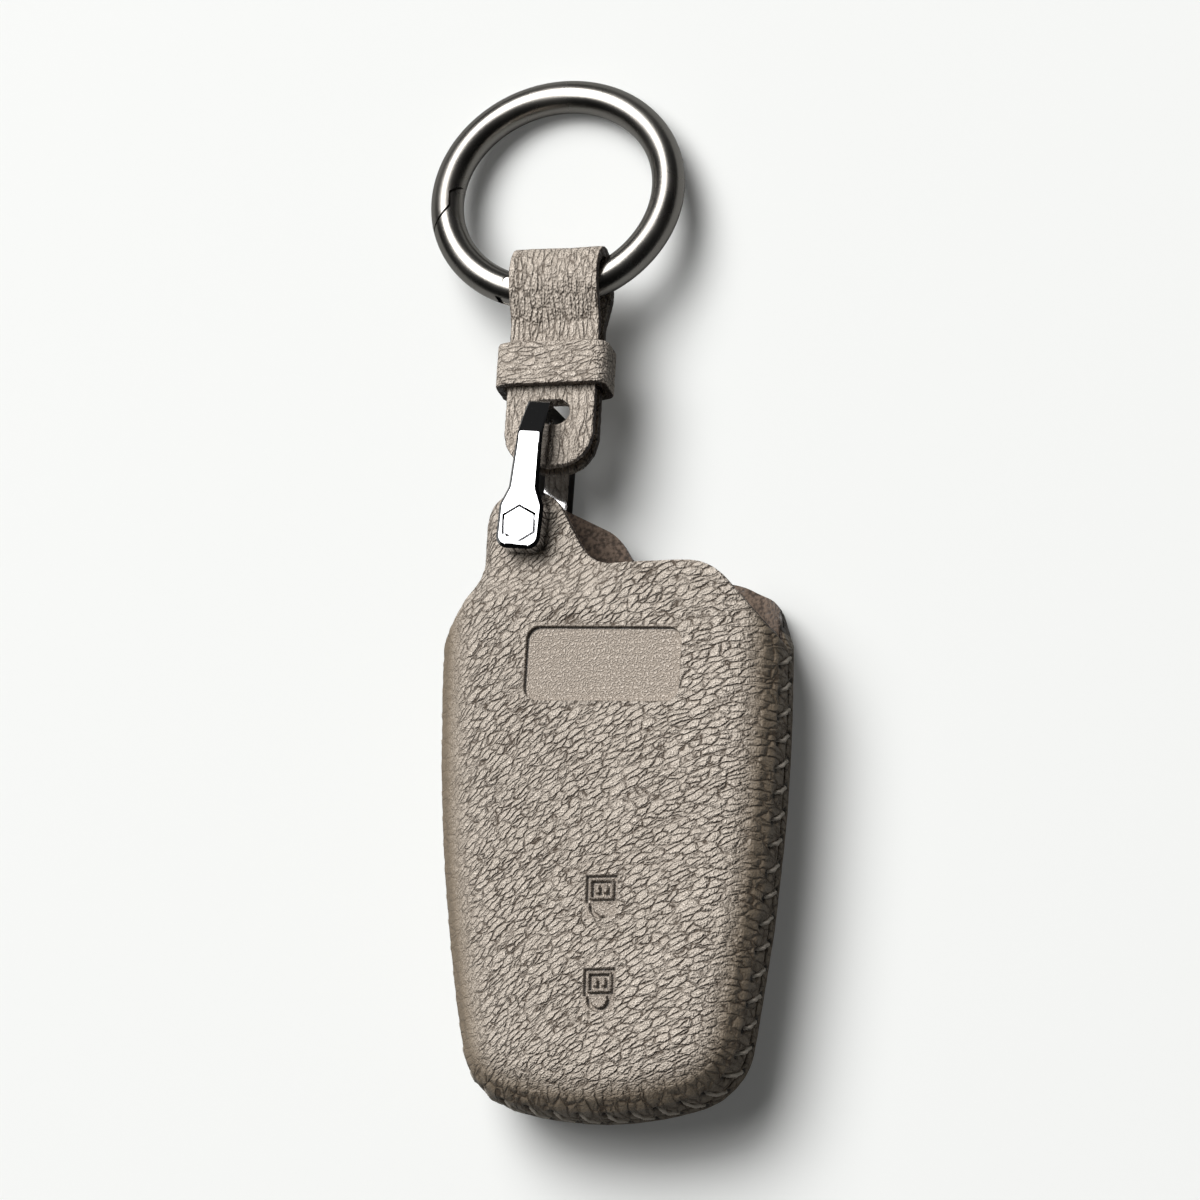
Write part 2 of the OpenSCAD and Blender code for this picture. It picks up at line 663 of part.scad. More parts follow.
// The plunger's nose just clears the tongue's corners as the gate opens
nose_at = sqrt(pow(tongue_r + plunger_r + nose_gap, 2) - pow(bore_off, 2));
spring_at = nose_at + plunger_l;
module at_hinge() {
    at_ring() translate(polar(ring_r, hinge_a)) rotate(hinge_a - 90 - bore_turn) children();
}
module at_bore() {
    at_hinge() translate([0, -bore_off, 0]) rotate([0, 90, 0]) children();
}

module torus() {
    at_ring() rotate_extrude($fn = torus_sides) translate([ring_r, 0]) circle(wire_r);
}

module through_ring() {
    translate([0, 0, -wire_r - over]) linear_extrude(2*(wire_r + over)) children();
}

module ring_body() {
    link_l = wire_r + tongue_r;
    color(satin) {
        difference() {
            torus();
            at_ring() through_ring() polygon(gate_zone(latch_gap));
            at_hinge() through_ring() circle(wire_r + knuckle_gap);
        }
        intersection() {
            torus();
            at_hinge() translate([0, 0, -tongue_t/2]) linear_extrude(tongue_t) difference() {
                union() {
                    circle(tongue_r);
                    rotate(bore_turn) translate([-link_l, -tongue_r]) square([link_l, 2*tongue_r]);
                }
                circle(pin_r);
                translate([tongue_flat, -wire_r]) square(2*wire_r);
            }
        }
    }
}

module ring_gate() {
    slot_r = wire_r + knuckle_gap;
    slot_t = tongue_t + 2*fork_gap;
    color(satin) difference() {
        intersection() {
            torus();
            union() {
                at_ring() through_ring() polygon(gate_zone(0));
                at_hinge() through_ring() circle(wire_r);
            }
        }
        at_hinge() translate([0, 0, -slot_t/2]) cylinder(r = slot_r, h = slot_t);
        at_hinge() through_ring() circle(pin_r + run_gap);
        at_bore() cylinder(r = plunger_r + run_gap, h = bore_l);
    }
}

module gate_pin() {
    pin_l = 2*(wire_r - knuckle_gap);
    color(satin) at_hinge() translate([0, 0, -pin_l/2]) cylinder(r = pin_r, h = pin_l);
}

module gate_plunger() {
    color(steel) at_bore() translate([0, 0, nose_at]) {
        cylinder(r = plunger_r, h = plunger_l);
        sphere(plunger_r);
    }
}

// Coil spring as one unbroken tube of six sides, wound about the bore's axis
coil_steps = 12;
coil_sides = 6;
module gate_spring() {
    coil_r = plunger_r - spring_wire/2;
    n = spring_turns*coil_steps;
    low = spring_at + spring_wire/2 + nose_gap;
    high = bore_l - spring_wire/2 - nose_gap;
    points = [for (i = [0:n], k = [0:coil_sides - 1])
        let (a = 360*i/coil_steps, b = 360*k/coil_sides, r = coil_r + spring_wire/2*cos(b))
        [r*cos(a), r*sin(a), low + (high - low)*i/n + spring_wire/2*sin(b)]];
    walls = [for (i = [0:n - 1], k = [0:coil_sides - 1])
        let (a = i*coil_sides + k, b = i*coil_sides + (k + 1)%coil_sides)
        each [[a, b, a + coil_sides], [b, b + coil_sides, a + coil_sides]]];
    ends = [[for (k = [coil_sides - 1:-1:0]) k], [for (k = [0:coil_sides - 1]) n*coil_sides + k]];
    color(steel) at_bore() polyhedron(points, concat(walls, ends), convexity = 10);
}

front_panel();
rear_panel();
front_lining();
rear_lining();
seam_thread();
shackle();
shackle_post();
shackle_screw();
strap();
keeper();
ring_body();
ring_gate();
gate_pin();
gate_plunger();
gate_spring();
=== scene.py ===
"""Leather key fob cover with its shackle, strap and spring-gate ring, dressed over the CAD frame."""

import json
import math

import bmesh
import bpy
import numpy as np
from mathutils import Matrix, Vector, noise


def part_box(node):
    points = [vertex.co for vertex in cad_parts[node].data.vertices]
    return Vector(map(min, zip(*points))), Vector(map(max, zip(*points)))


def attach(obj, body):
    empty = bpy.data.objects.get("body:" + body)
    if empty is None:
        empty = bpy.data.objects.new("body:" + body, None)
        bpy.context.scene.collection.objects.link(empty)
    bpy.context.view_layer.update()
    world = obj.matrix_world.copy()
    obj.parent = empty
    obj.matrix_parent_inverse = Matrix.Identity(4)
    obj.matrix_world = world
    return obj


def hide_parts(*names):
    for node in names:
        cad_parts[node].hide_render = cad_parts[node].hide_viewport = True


bl_info = {
    "name": "Key fob cover",
    "version": (1, 0, 0),
    "blender": (4, 5, 0),
    "location": "View3D > Sidebar > Key fob cover",
    "description": "Builds a stitched leather key fob cover and its key ring",
    "category": "Object",
}

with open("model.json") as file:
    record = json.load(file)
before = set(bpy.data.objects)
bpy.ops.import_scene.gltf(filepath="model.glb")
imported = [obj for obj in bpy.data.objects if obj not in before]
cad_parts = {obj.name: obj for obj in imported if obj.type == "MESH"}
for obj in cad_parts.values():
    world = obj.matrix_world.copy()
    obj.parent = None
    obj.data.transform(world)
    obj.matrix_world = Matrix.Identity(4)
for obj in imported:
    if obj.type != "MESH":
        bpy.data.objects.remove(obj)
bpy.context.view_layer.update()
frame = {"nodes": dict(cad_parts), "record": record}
MM = 0.001


def linear(code):
    """An sRGB hex colour as linear red, green and blue."""
    parts = [int(code[i : i + 2], 16) / 255 for i in (1, 3, 5)]
    return [c / 12.92 if c <= 0.04045 else ((c + 0.055) / 1.055) ** 2.4 for c in parts]


def length(name, millimetres, description):
    """A length that is given in millimetres and kept in metres."""
    return bpy.props.FloatProperty(
        name=name, description=description, default=millimetres * MM, unit="LENGTH", precision=5
    )


def colour(name, code, description):
    return bpy.props.FloatVectorProperty(
        name=name, description=description, default=linear(code), subtype="COLOR", min=0, max=1
    )


def number(name, value, description):
    return bpy.props.FloatProperty(name=name, description=description, default=value)


def angle(name, degrees, description):
    return bpy.props.FloatProperty(
        name=name, description=description, default=math.radians(degrees), subtype="ANGLE"
    )


class CoverSizes(bpy.types.PropertyGroup):
    """The moulded body, as the CAD has it."""

    body_length: length("Body length", 73.5, "Length of the moulded body without its ears")
    body_height: length("Body thickness", 19.5, "Thickness of the moulded body")
    foot: length("Foot", 19.2, "Half width at the bottom corners")
    edge_radius: length("Edge radius", 7.0, "Radius of the front's moulded edge")
    rear_edge: length("Rear edge radius", 9.0, "Radius of the rear's moulded edge")
    bottom_radius: length("Bottom radius", 42.5, "Radius of the rounded bottom end")
    corner_radius: length("Corner radius", 9.8, "Radius of the bottom corners")
    side_radius: length("Side radius", 274.0, "Radius of the bowed sides")
    side_lean: angle("Side lean", 10.2, "Lean of the sides at the bottom corners")
    top: length("Top", 65.3, "Where the moulded form would end above the mouth")
    seam_height: length("Seam height", 11.0, "Height of the sewn seam above the back")
    seam_end: length("Seam end", 26.4, "Where the seam ends along the body")
    leather: length("Leather", 1.5, "Thickness of the leather")
    voxel: length("Voxel", 0.34, "Size of the remeshed faces")


class MarkSizes(bpy.types.PropertyGroup):
    """The pressed window and the two pressed button marks."""

    window_width: length("Window width", 21.1, "Width of the smooth panel")
    window_height: length("Window height", 10.0, "Height of the smooth panel")
    window_radius: length("Window radius", 1.8, "Corner radius of the smooth panel")
    window_y: length("Window place", 23.3, "Middle of the smooth panel along the body")
    window_turn: angle("Window turn", 2.0, "How far the smooth panel is turned clockwise")
    depth: length("Depth", 0.5, "Depth of every pressed mark")
    wall: length("Wall", 0.16, "Run of the wall round a pressed mark")
    # The dark line along a mark's upper left walls is a painted shadow
    corner: length("Corner", 0.38, "Width of the worn-in dark line along a mark's upper left walls")
    width: length("Mark width", 4.2, "Width of a button mark")
    height: length("Mark height", 3.65, "Body height of a button mark")
    x: length("Mark across", 0.7, "Middle of the button marks across the body")
    y: length("Mark along", -7.1, "Middle of the upper mark along the body")
    step: length("Mark step", 12.4, "Distance between the two marks")
    line: length("Line", 0.5, "Width of a pressed line")


class StitchSizes(bpy.types.PropertyGroup):
    """The whip stitches over the seam."""

    thread: length("Thread", 0.7, "Thickness of the thread")
    pitch: length("Pitch", 3.4, "Distance between stitches")
    height: length("Stitch height", 4.4, "Height that one stitch spans")
    rise: length("Rise", 1.0, "Height of a stitch's middle above the seam")
    lean: length("Stitch lean", 2.0, "How far a stitch leans along the seam")
    hole: length("Hole", 0.55, "Radius of the puckered hole at a stitch's end")
    sink: length("Sink", 0.9, "How deep a stitch's ends go into the leather")
    press: length("Press", 0.3, "How deep a pulled stitch lies in the leather")


class Finishes(bpy.types.PropertyGroup):
    """Colours, grain and lamps."""

    leather: colour("Leather", "#e1d5c7", "Taupe of the leather's pebbles")
    # Browner tone of the leather pulled tight over the edges, made darker as painted shade on the rounded
    # edges
    band: colour("Band", "#8d7e6b", "Leather pulled tight over the edges")
    pressed: colour("Pressed", "#beb1a3", "Leather pressed smooth")
    # Painted shade: this colour darkens the creases' lines, the hollows between pebbles, the hair cells'
    # pits, the pressed walls, the seam's roll and the stitch holes
    crease: colour("Crease", "#453423", "Bottom of the leather's creases")
    cut: colour("Cut edge", "#4c4037", "Dyed cut edge and flesh side")
    suede: colour("Suede", "#5e5045", "Brown suede lining")
    thread: colour("Thread", "#ddd2c3", "Waxed thread")
    polished: colour("Black nickel", "#aeaeaf", "Polished black nickel")
    satin: colour("Gunmetal", "#a6a29c", "Satin gunmetal plating")
    steel: colour("Spring steel", "#b9bbbd", "Drawn spring steel")
    floor: colour("Floor", "#fbfcfa", "Pale floor")
    grain_length: length("Grain length", 2.1, "Length of a pebble along the creases")
    grain_width: length("Grain width", 0.78, "Width of a pebble across the creases")
    grain_angle: angle("Grain angle", 35.0, "Turn of the creases on the front")
    grain_fan: number("Grain fan", 7.7, "How fast the creases flatten towards the right, per metre")
    grain_depth: length("Grain depth", 0.62, "Depth of the deepest creases")
    key: number("Key", 1.9, "Strength of the slanting key lamp")
    box: number("Softbox", 31.0, "Power of the softbox in watts")
    fill: number("Fill", 0.4, "Strength of the light from all round")


def settings(kind):
    """The scene's group of settings of that kind."""
    return getattr(bpy.context.scene, "fob_cover_" + kind)


# Meshes

WELD = 0.002 * MM  # Points of a CAD mesh that are nearer than this are one
SOFTENING = 3  # Rounds of smoothing after a remesh, which soften the cut edges
# Size and depth of the fine and the broad unevenness of a leather surface
PANEL_WAVES = ((1.3 * MM, 0.05 * MM), (6 * MM, 0.08 * MM))
STRAP_WAVES = ((1.1 * MM, 0.05 * MM), (5 * MM, 0.07 * MM))


def new_piece(name, bm, body, slot, *nodes):
    """The bmesh as a smooth object on its body, in place of the CAD nodes."""
    mesh = bpy.data.meshes.new(name)
    bm.to_mesh(mesh)
    bm.free()
    mesh.shade_smooth()
    piece = bpy.data.objects.new(name, mesh)
    bpy.context.scene.collection.objects.link(piece)
    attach(piece, body)
    if nodes:
        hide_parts(*nodes)
    return piece


def merged_copy(node):
    """A CAD node's mesh with its loose triangles joined."""
    bm = bmesh.new()
    bm.from_mesh(frame["nodes"][node].data)
    bmesh.ops.remove_doubles(bm, verts=bm.verts, dist=WELD)
    return bm


def remeshed(bm, voxel):
    """The closed shape as even quads, with its edges softened a little."""
    mesh = bpy.data.meshes.new("Solid")
    bm.to_mesh(mesh)
    bm.free()
    helper = bpy.data.objects.new("Solid", mesh)
    bpy.context.scene.collection.objects.link(helper)
    remesh = helper.modifiers.new("Voxels", "REMESH")
    remesh.mode = "VOXEL"
    remesh.voxel_size = voxel * 1
    result = bmesh.new()
    result.from_object(helper, bpy.context.evaluated_depsgraph_get())
    bpy.data.objects.remove(helper)
    bpy.data.meshes.remove(mesh)
    for _ in range(SOFTENING):
        bmesh.ops.smooth_vert(
            result, verts=result.verts, factor=0.5, use_axis_x=True, use_axis_y=True, use_axis_z=True
        )
    return result


def coordinates(mesh):
    """The mesh's points as an array."""
    points = np.empty(3 * len(mesh.vertices))
    mesh.vertices.foreach_get("co", points)
    return points.reshape(-1, 3)


def normals(mesh):
    """The mesh's vertex normals as an array."""
    values = np.empty(3 * len(mesh.vertices))
    mesh.vertex_normals.foreach_get("vector", values)
    return values.reshape(-1, 3)


def set_coordinates(mesh, points):
    """Moves the mesh's points to the array's."""
    mesh.vertices.foreach_set("co", points.ravel())
    mesh.update()


def set_attributes(mesh, **attributes):
    """Stores one number or one vector for each point, under each name."""
    for name, values in attributes.items():
        kind, field = ("FLOAT_VECTOR", "vector") if values.ndim == 2 else ("FLOAT", "value")
        attribute = mesh.attributes.new(name, kind, "POINT")
        attribute.data.foreach_set(field, values.astype(np.float32).ravel())


def smooth_step(values, low, high):
    """0 at the low value and below, 1 at the high one and above, and smooth between."""
    share = np.clip((values - low) / (high - low), 0, 1)
    return share * share * (3 - 2 * share)


def undulation(points, waves):
    """A soft uneven height for each point, from noises of the given sizes and depths."""
    return sum(np.array([depth * noise.noise(Vector(p) / size) for p in points]) for size, depth in waves)


# Plan of the moulded body


def polar(radius, turn):
    """The point at a radius and an angle from the origin."""
    return np.array([radius * math.cos(turn), radius * math.sin(turn)])


class Plan:
    """The body's closed plan as closely spaced points, with outward normals and distance along it."""

    SPACING = 0.2 * MM
    CHUNK = 4000

    def __init__(self):
        s = settings("sizes")
        down = -math.pi / 2
        bottom = np.array([0, s.bottom_radius - s.body_length / 2])
        corner_x = s.foot - s.corner_radius * math.cos(s.side_lean)
        turn = down + math.asin(corner_x / (s.bottom_radius - s.corner_radius))
        corner = bottom + polar(s.bottom_radius - s.corner_radius, turn)
        side = corner + polar(s.corner_radius - s.side_radius, -s.side_lean)
        half_width = side[0] + s.side_radius
        top_corner = np.array([half_width - s.corner_radius, s.top - s.corner_radius])
        rise = np.arange(side[1], top_corner[1], self.SPACING)
        outline = [
            *self.arc(bottom, s.bottom_radius, down, turn),
            *self.arc(corner, s.corner_radius, turn, -s.side_lean),
            *self.arc(side, s.side_radius, -s.side_lean, 0),
            *[((half_width, y), (1.0, 0.0)) for y in rise],
            *self.arc(top_corner, s.corner_radius, 0, math.pi / 2),
        ]
        right, normal = (np.array(part) for part in zip(*outline))
        steps = np.linalg.norm(np.diff(right, axis=0), axis=1)
        distance = np.concatenate([[0], np.cumsum(steps)])
        flip = np.array([-1, 1])
        self.right, self.right_normal, self.right_distance = right, normal, distance
        self.points = np.concatenate([right, right * flip])
        self.normals = np.concatenate([normal, normal * flip])
        self.distance = np.concatenate([distance, -distance])
        self.seam_length = distance[right[:, 1] < s.seam_end].max()

    def arc(self, centre, radius, start, end):
        """Points and outward normals along an arc, without its last point."""
        count = max(2, int(abs(end - start) * radius / self.SPACING))
        turns = np.linspace(start, end, count, endpoint=False)
        return [(centre + polar(radius, a), polar(1, a)) for a in turns]

    def nearest(self, points):
        """Index of the plan's nearest point for each point, found in chunks."""
        found = []
        for i in range(0, len(points), self.CHUNK):
            gap = points[i : i + self.CHUNK, None, :] - self.points[None, :, :]
            found.append(np.argmin((gap**2).sum(axis=2), axis=1))
        return np.concatenate(found)

    def at(self, distance):
        """Point and outward normal at a distance along the right half."""
        i = min(np.searchsorted(self.right_distance, distance), len(self.right) - 1)
        return self.right[i], self.right_normal[i]


def stitch_places(plan):
    """Distance along the seam of each stitch on one side."""
    count = int(plan.seam_length / settings("stitches").pitch)
    return [plan.seam_length * (k + 0.5) / count for k in range(count)]


def stitch_point(plan, place, side, u):
    """Point of the leather under a stitch, from its front end at -1 to its rear end at 1."""
    s = settings("sizes")
    st = settings("stitches")
    p, n = plan.at(place + side * u * st.lean / 2)
    height = st.rise - u * st.height / 2
    over = max(height - (s.body_height - s.seam_height - s.edge_radius), 0)
    inset = s.edge_radius - math.sqrt(s.edge_radius**2 - over**2)
    x, y = p - n * inset
    return np.array([side * x, y, s.seam_height + height])


# Leather panels

MARK_CUTS = 2  # Cuts that refine a face's edges at a mark's wall
FACES_UP = 0.3  # How far a face looks up where it counts as the panel's flat
FACES_OUT = 0.2  # How far it looks out where it counts as the panel's side
BAND = (0.05, 0.95)  # Where the leather pulled over the edge starts and ends, in shares of its radius
CALM_LEFT = (0.6, 0.97)  # Slope to the left between which the edge's grain grows calm
CALM_LEAST, CALM_MORE = 0.25, 0.55  # How calm it is elsewhere, and how much calmer there
SKIN = 0.7  # Depth of the outer skin, in shares of the leather's thickness
WINDOW_SHADE, MARK_SHADE, CORNER_SHADE = 0.35, 0.65, 0.92  # Painted shade on the pressed walls of the window and the marks, and the painted shadow along their upper left walls
UPPER_LEFT = np.array([-0.7, 0.7, 0])  # Way towards the light: a painted shadow lines the walls on this side of each pressed mark
ROLL_HEIGHT, ROLL_DEPTH, ROLL_SHADE = 1.1 * MM, 0.3 * MM, 0.35  # How the panels roll in at the seam, and the painted shade there
HOLE_PLACE = 1.15  # Where a hole lies along its stitch, whose ends are at -1 and 1
# Depth of the pucker round a stitch hole, and the painted shade in a thread's groove
PUCKER_DEPTH, GROOVE_SHADE = 0.3 * MM, 0.3
GUIDE_LAYER = 0.02  # Where the edge's pattern is cut from its noise, in metres


def box_distance(x, y, width, height, radius=0.0):
    """Signed distance from a centred box with round corners."""
    dx = np.abs(x) - width / 2 + radius
    dy = np.abs(y) - height / 2 + radius
    outside = np.hypot(np.maximum(dx, 0), np.maximum(dy, 0))
    return outside + np.minimum(np.maximum(dx, dy), 0) - radius


def window_distance(x, y):
    """Signed distance from the smooth panel, which is turned a little."""
    m = settings("marks")
    sine, cosine = math.sin(m.window_turn), math.cos(m.window_turn)
    y = y - m.window_y
    turned = (x * cosine - y * sine, x * sine + y * cosine)
    return box_distance(*turned, m.window_width, m.window_height, m.window_radius)


def mark_distance(x, y, closed):
    """Signed distance from one pressed button mark: a framed box with two bars and a bow below."""
    m = settings("marks")
    inner_w, inner_h = m.width - 2 * m.line, m.height - 2 * m.line
    field_w, field_h = inner_w - m.line, inner_h - m.line
    shape = np.maximum(box_distance(x, y, m.width, m.height), -box_distance(x, y, inner_w, inner_h))
    bars = np.minimum(
        *[box_distance(x - side * field_w / 5, y, field_w / 5, field_h / 2) for side in (-1, 1)]
    )
    shape = np.minimum(shape, np.maximum(box_distance(x, y, field_w, field_h), -bars))
    down = y + m.height / 2 + m.line
    bow_out = inner_w / 2
    bow_in = bow_out - m.line
    outer = np.where(down > 0, np.abs(x) - bow_out, np.hypot(x, down) - bow_out)
    inner = np.where(down > 0, np.abs(x) - bow_in, np.hypot(x, down) - bow_in)
    bow = np.maximum(np.maximum(outer, -inner), down - m.line)
    if not closed:
        gap = box_distance(x - bow_out / 2, down + bow_in / 2, bow_out + m.line, bow_in + m.line)
        bow = np.maximum(bow, -gap)
    return np.minimum(shape, bow)


def button_distances(x, y):
    """Signed distance from the nearest button mark, and from the nearest pad of smooth leather round one."""
    m = settings("marks")
    marks, pads = [], []
    for k in (0, 1):
        across, along = x - m.x, y - m.y + k * m.step
        marks.append(mark_distance(across, along, k == 1))
        pads.append(box_distance(across, along + m.width / 4, m.width, m.height + m.width / 2))
    return np.minimum(*marks), np.minimum(*pads)


def pressed(points):
    """How far each point is pressed in and how smooth it is, from 0 to 1, and its distance from a mark."""
    wall = settings("marks").wall
    x, y = points[:, 0], points[:, 1]
    window = window_distance(x, y)
    mark, pad = button_distances(x, y)
    shape = np.minimum(window, mark)
    depth = 1 - smooth_step(shape, -wall / 2, wall / 2)
    smooth = 1 - smooth_step(np.minimum(window, pad), -wall, 2 * wall)
    return depth, smooth, shape


def mark_region(bm, margin):
    """Faces of the front near the window's wall or a button mark."""
    top = settings("sizes").body_height - 3 * settings("marks").depth
    faces = [f for f in bm.faces if f.normal.z > FACES_UP and f.calc_center_median().z > top]
    centres = np.array([f.calc_center_median() for f in faces])
    x, y = centres[:, 0], centres[:, 1]
    near = np.minimum(np.abs(window_distance(x, y)), button_distances(x, y)[1]) < margin
    return [f for f, wanted in zip(faces, near) if wanted]


def stitch_dents(plan, points, front):
    """How deep the stitches press each point in, and the painted shade in their holes and grooves, from 0 to
    1.
    """
    st = settings("stitches")
    press, dark = np.zeros(len(points)), np.zeros(len(points))
    for side in (1, -1):
        for place in stitch_places(plan):
            ends = [stitch_point(plan, place, side, u) for u in (-HOLE_PLACE, HOLE_PLACE)]
            hole, far = ends if front else ends[::-1]
            way = far - hole
            gap = np.linalg.norm(points - hole, axis=1)
            run = np.clip((points - hole) @ way / (way @ way), 0, 1)
            line = np.linalg.norm(points - hole - run[:, None] * way, axis=1)
            pucker = 1 - smooth_step(gap, 0, st.hole * 1.4)
            groove = 1 - smooth_step(line, st.thread * 0.4, st.thread * 0.95)
            press += pucker * PUCKER_DEPTH + groove * st.press
            # Painted shade in each hole and along each thread's groove
            dark = np.maximum(dark, 1 - smooth_step(gap, 0.7 * st.hole, st.hole * 1.3))
            dark = np.maximum(dark, groove * GROOVE_SHADE)
    return press, dark


def panel(plan, node, front):
    """A moulded leather half: softened CAD shape, pressed marks, rolled seam, stitch holes and grain."""
    s, m, f = settings("sizes"), settings("marks"), settings("finishes")
    radius = s.edge_radius if front else s.rear_edge
    depth = s.body_height - s.seam_height if front else s.seam_height
    way = 1 if front else -1
    bm = remeshed(merged_copy(node), s.voxel)
    if front:
        edges = {e for face in mark_region(bm, 3 * m.wall) for e in face.edges}
        bmesh.ops.subdivide_edges(bm, edges=list(edges), cuts=MARK_CUTS, use_grid_fill=True)
    mesh = new_piece(node + "_leather", bm, "cover", "leather", node).data
    points, facing = coordinates(mesh), normals(mesh)
    near = plan.nearest(points[:, :2])
    edge, out = plan.points[near], plan.normals[near]
    inset = ((edge - points[:, :2]) * out).sum(axis=1)
    height = way * (points[:, 2] - s.seam_height)
    outward = (facing[:, :2] * out).sum(axis=1)
    up = way * facing[:, 2]

    # Distance across the rounded edge, counted outwards from where the flat ends
    wall = height - (depth - radius)
    bend = np.arctan2(wall, np.maximum(radius - inset, 1e-9))
    across = np.where(wall > 0, radius * (math.pi / 2 - bend), radius * math.pi / 2 - wall)
    across = np.where(inset > radius, radius - inset, across)
    x, y = (edge + out * (across - radius)[:, None]).T

    # The outside's skin, and the sides of it, where the panels roll in to meet at the seam
    skin = (inset < s.leather * SKIN) | (height > depth - s.leather * SKIN) | (up > FACES_UP)
    sides = outward > FACES_OUT
    roll = np.where(sides, np.clip(1 - height / ROLL_HEIGHT, 0, 1) ** 2, 0)
    zero = np.zeros(len(points))
    smooth = dark = zero
    shift = undulation(points, PANEL_WAVES)
    if front:
        press, smooth, shape = pressed(points)
        top = (points[:, 2] > s.body_height - 3 * m.depth) & (up > 0.1)
        smooth = np.where(top, smooth, 0)
        on_mark = top & (shape < 3 * m.wall)
        points[on_mark, 2] = s.body_height - m.depth * press[on_mark]
        shift = shift * (1 - smooth)
        # Painted shade on the pressed walls, and a painted shadow along the upper left walls, which face away
        # from the light
        wall_shade = smooth_step(-np.abs(shape), -m.wall, 0) * np.where(points[:, 1] > 0, WINDOW_SHADE, MARK_SHADE)
        corner = np.clip(press - pressed(points + m.corner * UPPER_LEFT)[0], 0, 1)
        dark = np.where(top, np.maximum(wall_shade, corner * CORNER_SHADE), 0)
    pulled, stitch_shade = stitch_dents(plan, points, front)
    shift = shift - roll * ROLL_DEPTH - pulled * sides
    # Painted shade where the panels roll in at the seam
    dark = np.maximum(dark, smooth_step(roll, 0.5, 1.0) * ROLL_SHADE)
    cut = smooth_step(-np.maximum(outward, up), -0.45, 0.1) * (inset > s.leather * 0.2)
    set_coordinates(mesh, points + facing * shift[:, None])

    # The grain's guides: turned and fanned out on the front, and along the edge where it is pulled tight
    sine, cosine = math.sin(f.grain_angle), math.cos(f.grain_angle)
    grain = (x * cosine + y * sine, y * cosine - x * sine + f.grain_fan * x**2, zero)
    set_attributes(
        mesh,
        grain=np.stack(grain, axis=1) / MM,
        grain_band=np.stack([across, plan.distance[near], zero + GUIDE_LAYER], axis=1) / MM,
        band=smooth_step(across, BAND[0] * radius, BAND[1] * radius),
        calm=CALM_LEAST + CALM_MORE * smooth_step(-out[:, 0], *CALM_LEFT),
        smooth=smooth,
        dark=np.maximum(dark, stitch_shade * sides),
        cut=np.maximum(cut, ~skin),
    )
    mesh.materials.append(material("Tumbled leather", tumbled_leather))


# Materials

MATH, MAP, MIX = "ShaderNodeMath", "ShaderNodeMapRange", "ShaderNodeMix"
NOISE, VECTOR, BUMP = "ShaderNodeTexNoise", "ShaderNodeVectorMath", "ShaderNodeBump"
CELLS, SHADER = "ShaderNodeTexVoronoi", "ShaderNodeBsdfPrincipled"

# Leather's grain, with lengths in millimetres as its guides have them
SWAYS = ((0.1, 0.9), (0.8, 0.45))  # Lumps per millimetre and reach of the creases' broad and fine sway
# Pebbles, small pebbles and deep places: how many along and across a pebble's size, and their offset's seeds
LARGE, SMALL, DEEP = (1.0, 1.0, 1.0, 0.0), (2.0, 1.9, 1.0, 3.0), (0.4, 0.9, 2.0, 0.0)
DEEP_SHARE = (0.4, 0.6, 0.55, 1.0)  # Noise between which the creases go from shallow to deep, and both depths
CREASE, CREASE_SHADE_LINE = 0.17, 0.09  # Half widths of a crease and of its line of painted shade, in shares of a pebble
DOMES = (0.3, 0.32), (0.2, 0.8)  # Width of a small and a large pebble's slope, and its share of the height
EDGE_GRAIN = 1.7  # How much larger the pebbles are where the leather is pulled over an edge
EDGE_SEED = 5.0
CALM_LEVEL = 0.8  # Level of leather without grain
PORES = 4.2  # Hair cells per millimetre
PATCHES = 0.12  # Patches of worn colour per millimetre
# Fineness of the other surfaces' noise, in lumps per metre
NAP, BRUSHED_NAP = 1.9 / MM, 0.22 / MM
FIBRE = 5.2 / MM
SMUDGES = 0.16 / MM
# Plated metals: colour, roughness, height of the brushing and its fineness
METALS = {
    "Polished black nickel": ("polished", 0.07, 0.0005 * MM, 0.9 / MM),  # A dark mirror
    "Satin gunmetal": ("satin", 0.27, 0.004 * MM, 4.2 / MM),  # Soft streaked highlights
    "Drawn spring steel": ("steel", 0.22, 0.002 * MM, 3.0 / MM),  # Light and a little streaked
}


def add(tree, kind, links=None, **options):
    """Adds a node with its settings. An input takes a value, an output, or a node's first live output."""
    made = tree.nodes.new(kind)
    for name, value in options.items():
        setattr(made, name, value)
    for name, value in (links or {}).items():
        if isinstance(value, bpy.types.Node):
            value = next(output for output in value.outputs if output.enabled)
        if isinstance(value, bpy.types.NodeSocket):
            tree.links.new(value, made.inputs[name])
        else:
            made.inputs[name].default_value = value
    return made


def material(name, build, *values):
    """The material of that name, whose nodes are made on its first use."""
    known = bpy.data.materials.get(name)
    if known:
        return known
    made = bpy.data.materials.new(name)
    made.use_nodes = True
    tree = made.node_tree
    tree.nodes.clear()
    add(tree, "ShaderNodeOutputMaterial", {"Surface": build(tree, *values)})
    return made


def rgba(value, part=1.0):
    """The colour made lighter or darker, with its alpha."""
    return (*(min(1, c * part) for c in value), 1.0)


